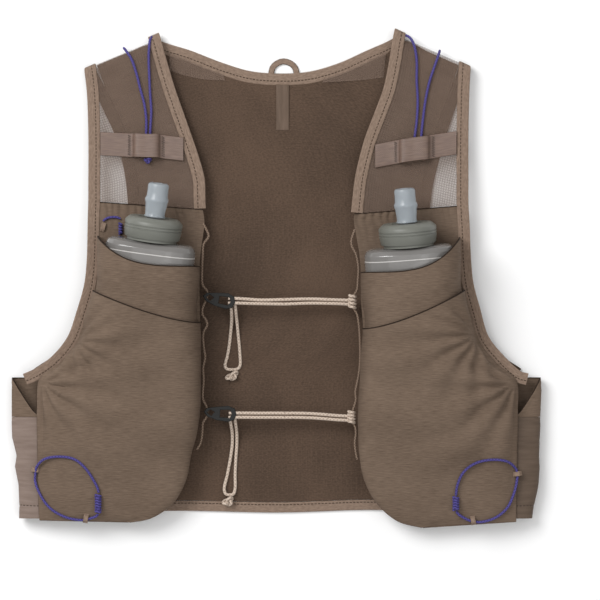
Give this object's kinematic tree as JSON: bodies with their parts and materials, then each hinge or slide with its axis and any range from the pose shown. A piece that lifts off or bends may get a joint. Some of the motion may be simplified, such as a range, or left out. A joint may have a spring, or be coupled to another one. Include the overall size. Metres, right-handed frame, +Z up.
{
  "type": "running hydration vest",
  "caption": "Open-fronted running vest lying flat, with a soft flask in each chest pocket and elastic chest cords on hooks.",
  "frame": {"origin": "centre of the bounding box at its base, with the vest lying on its back; measured without the cords", "axes": "+Z up, out of the chest side; +Y towards the neck; +X to the side of the vest without the chest hooks"},
  "size_m": [0.4513, 0.4221, 0.0671],
  "materials": {
    "lining": "smooth dark taupe ripstop",
    "binding": "woven stretch tape with a stitch line",
    "mesh_cloth": "fine see-through mesh",
    "webbing": "satin woven webbing",
    "knit_cloth": "matte stretch knit with a fine horizontal slub",
    "side_cloth": "smooth stretch cloth",
    "flask_film": "smoky translucent flexible film",
    "cap_plastic": "matte grey-green plastic",
    "valve_silicone": "bluish translucent silicone",
    "lacing": "round elastic cord",
    "purple_cord": "braided elastic cord",
    "beige_cord": "braided elastic cord with dark flecks",
    "hook_plastic": "dark grey moulded plastic"
  },
  "bodies": {
    "vest": {"back_panel": "lining", "back_hem": "binding", "neck_binding": "binding", "left_armhole_binding": "binding", "right_armhole_binding": "binding", "hang_loop": "binding", "neck_tape": "binding", "left_hem_tab_upper": "binding", "left_hem_tab_lower": "binding", "right_hem_tab_upper": "binding", "right_hem_tab_lower": "binding", "left_flask_tab": "binding", "left_yoke": "mesh_cloth", "right_yoke": "mesh_cloth", "left_strap_mesh": "mesh_cloth", "right_strap_mesh": "mesh_cloth", "left_webbing": "webbing", "right_webbing": "webbing", "left_pocket_back": "knit_cloth", "right_pocket_back": "knit_cloth", "left_bottle_pocket": "knit_cloth", "right_bottle_pocket": "knit_cloth", "left_front_pocket": "knit_cloth", "right_front_pocket": "knit_cloth", "left_side_yoke": "knit_cloth", "right_side_yoke": "knit_cloth", "left_side_panel": "side_cloth", "right_side_panel": "side_cloth", "left_flask_body": "flask_film", "right_flask_body": "flask_film", "left_lacing_cord": "lacing", "right_lacing_cord": "lacing", "left_shoulder_cord_inner": "purple_cord", "left_shoulder_cord_outer": "purple_cord", "right_shoulder_cord_inner": "purple_cord", "right_shoulder_cord_outer": "purple_cord", "left_shoulder_knot": "purple_cord", "right_shoulder_knot": "purple_cord", "left_hem_cord": "purple_cord", "right_hem_cord": "purple_cord", "left_hem_knot": "purple_cord", "right_hem_knot": "purple_cord", "left_flask_cord": "purple_cord", "left_flask_knot": "purple_cord", "upper_strand_upper": "beige_cord", "upper_strand_lower": "beige_cord", "lower_strand_upper": "beige_cord", "lower_strand_lower": "beige_cord", "upper_loop_cord": "beige_cord", "lower_loop_cord": "beige_cord", "upper_loop_knot": "beige_cord", "lower_loop_knot": "beige_cord", "upper_hook": "hook_plastic", "lower_hook": "hook_plastic"},
    "left_cap": {"left_flask_cap": "cap_plastic", "left_bite_valve": "valve_silicone"},
    "right_cap": {"right_flask_cap": "cap_plastic", "right_bite_valve": "valve_silicone"}
  },
  "joints": [
    {"name": "left_cap_turn", "type": "hinge", "parent": "vest", "child": "left_cap", "pos_m": [-0.10372, 0.04288, 0.0422], "axis": [0.1299, 0.9869, 0.0958], "range_deg": [0, 180]},
    {"name": "right_cap_turn", "type": "hinge", "parent": "vest", "child": "right_cap", "pos_m": [0.11158, 0.03819, 0.0422], "axis": [-0.0781, 0.9923, 0.0958], "range_deg": [0, 180]}
  ]
}
